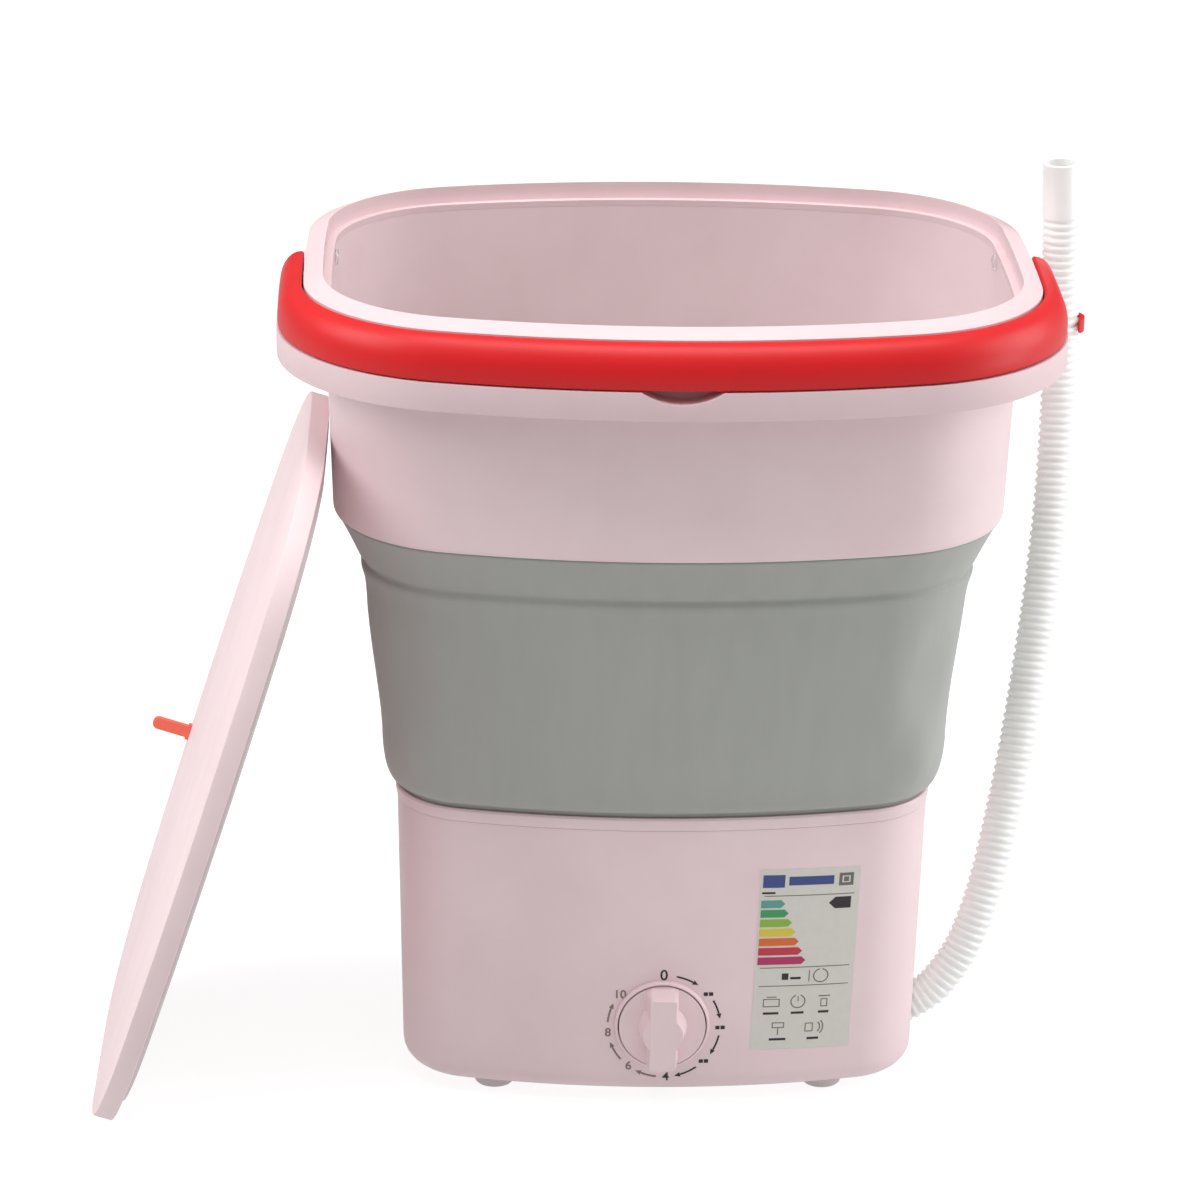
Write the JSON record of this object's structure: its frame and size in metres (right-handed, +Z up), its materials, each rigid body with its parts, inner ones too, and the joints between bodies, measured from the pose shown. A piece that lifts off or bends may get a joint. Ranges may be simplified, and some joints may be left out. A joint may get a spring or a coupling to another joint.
{
  "type": "portable washing machine",
  "caption": "Small folding tub washer with a soft bellows middle, timer knob, carry handle, ribbed drain hose and a loose lid leaning beside it.",
  "frame": {"origin": "on the floor, on the upright axis of the tub and its pulsator", "axes": "+X to the right of a person who faces the knob, +Y to the back, +Z up"},
  "size_m": [0.5077, 0.343, 0.4587],
  "materials": {
    "pink_plastic": "satin",
    "red_plastic": "satin",
    "grey_bellows": "matte",
    "hose_plastic": "translucent white",
    "pale_plastic": "satin",
    "dark_plastic": "matte",
    "motor_paint": "satin",
    "steel": "satin",
    "brass": "satin",
    "pulley_aluminium": "satin",
    "black_rubber": "matte",
    "pale_rubber": "matte",
    "board_green": "matte",
    "clear_plastic": "clear"
  },
  "bodies": {
    "base": {"base_shell": "pink_plastic", "base_collar": "pink_plastic", "bottom_cover": "pink_plastic", "feet": "pale_rubber", "cover_screws": "steel", "tub_pan": "pink_plastic", "drain_grate": "pale_plastic", "drain_pipe": "pale_plastic", "drain_spigot": "pale_plastic", "drain_hose": "hose_plastic", "bearing_housing": "dark_plastic", "shaft_bushes": "brass", "shaft_seal": "black_rubber", "motor_housing": "motor_paint", "motor_bracket": "steel", "bracket_screws": "steel", "drive_belt": "black_rubber", "timer_module": "dark_plastic", "timer_screws": "steel", "control_board": "board_green", "board_screws": "steel", "power_socket": "dark_plastic", "socket_pins": "brass", "bellows": "grey_bellows", "bellows_lower_ring": "pale_plastic"},
    "upper": {"upper_shell": "pink_plastic", "rim_frame": "pink_plastic", "bellows_upper_ring": "pale_plastic", "pivot_pins": "steel", "rim_screws": "steel", "rim_caps": "clear_plastic", "hose_clip": "red_plastic"},
    "handle": {"carry_handle": "red_plastic"},
    "knob": {"timer_knob": "pink_plastic", "timer_shaft": "dark_plastic"},
    "agitator": {"pulsator": "pale_plastic", "pulsator_shaft": "steel", "pulsator_screw": "steel", "drive_pulley": "dark_plastic"},
    "motor": {"motor_shaft": "steel", "motor_pulley": "pulley_aluminium"},
    "lid": {"lid_panel": "pink_plastic", "lid_seal": "pale_rubber", "lid_pull_tab": "red_plastic"}
  },
  "joints": [
    {"name": "fold", "type": "slide", "parent": "base", "child": "upper", "axis": [0, 0, 1], "range_m": [-0.175, 0], "deforming": ["bellows", "drain_hose"]},
    {"name": "handle_swing", "type": "hinge", "parent": "upper", "child": "handle", "pos_m": [0, 0, 0.41265], "axis": [-1, 0, 0], "range_deg": [0, 90]},
    {"name": "knob_turn", "type": "hinge", "parent": "base", "child": "knob", "pos_m": [0, -0.094, 0.0465], "axis": [0, 1, 0], "range_deg": [0, 315]},
    {"name": "pulsator_spin", "type": "hinge", "parent": "base", "child": "agitator", "pos_m": [0, 0, 0.1], "axis": [0, 0, 1], "continuous": true},
    {"name": "motor_spin", "type": "hinge", "parent": "base", "child": "motor", "pos_m": [-0.075, 0.02, 0.04], "axis": [0, 0, 1], "continuous": true},
    {"name": "lid_tip", "type": "hinge", "parent": "base", "child": "lid", "pos_m": [-0.2896, -0.046, 0.003], "axis": [0, -1, 0], "range_deg": [0, 103]}
  ],
  "couplings": [
    {"joint": "motor_spin", "follows": "pulsator_spin", "ratio": 4},
    {"joint": "lid_tip", "follows": "fold", "rad_per_m": -10.27}
  ]
}
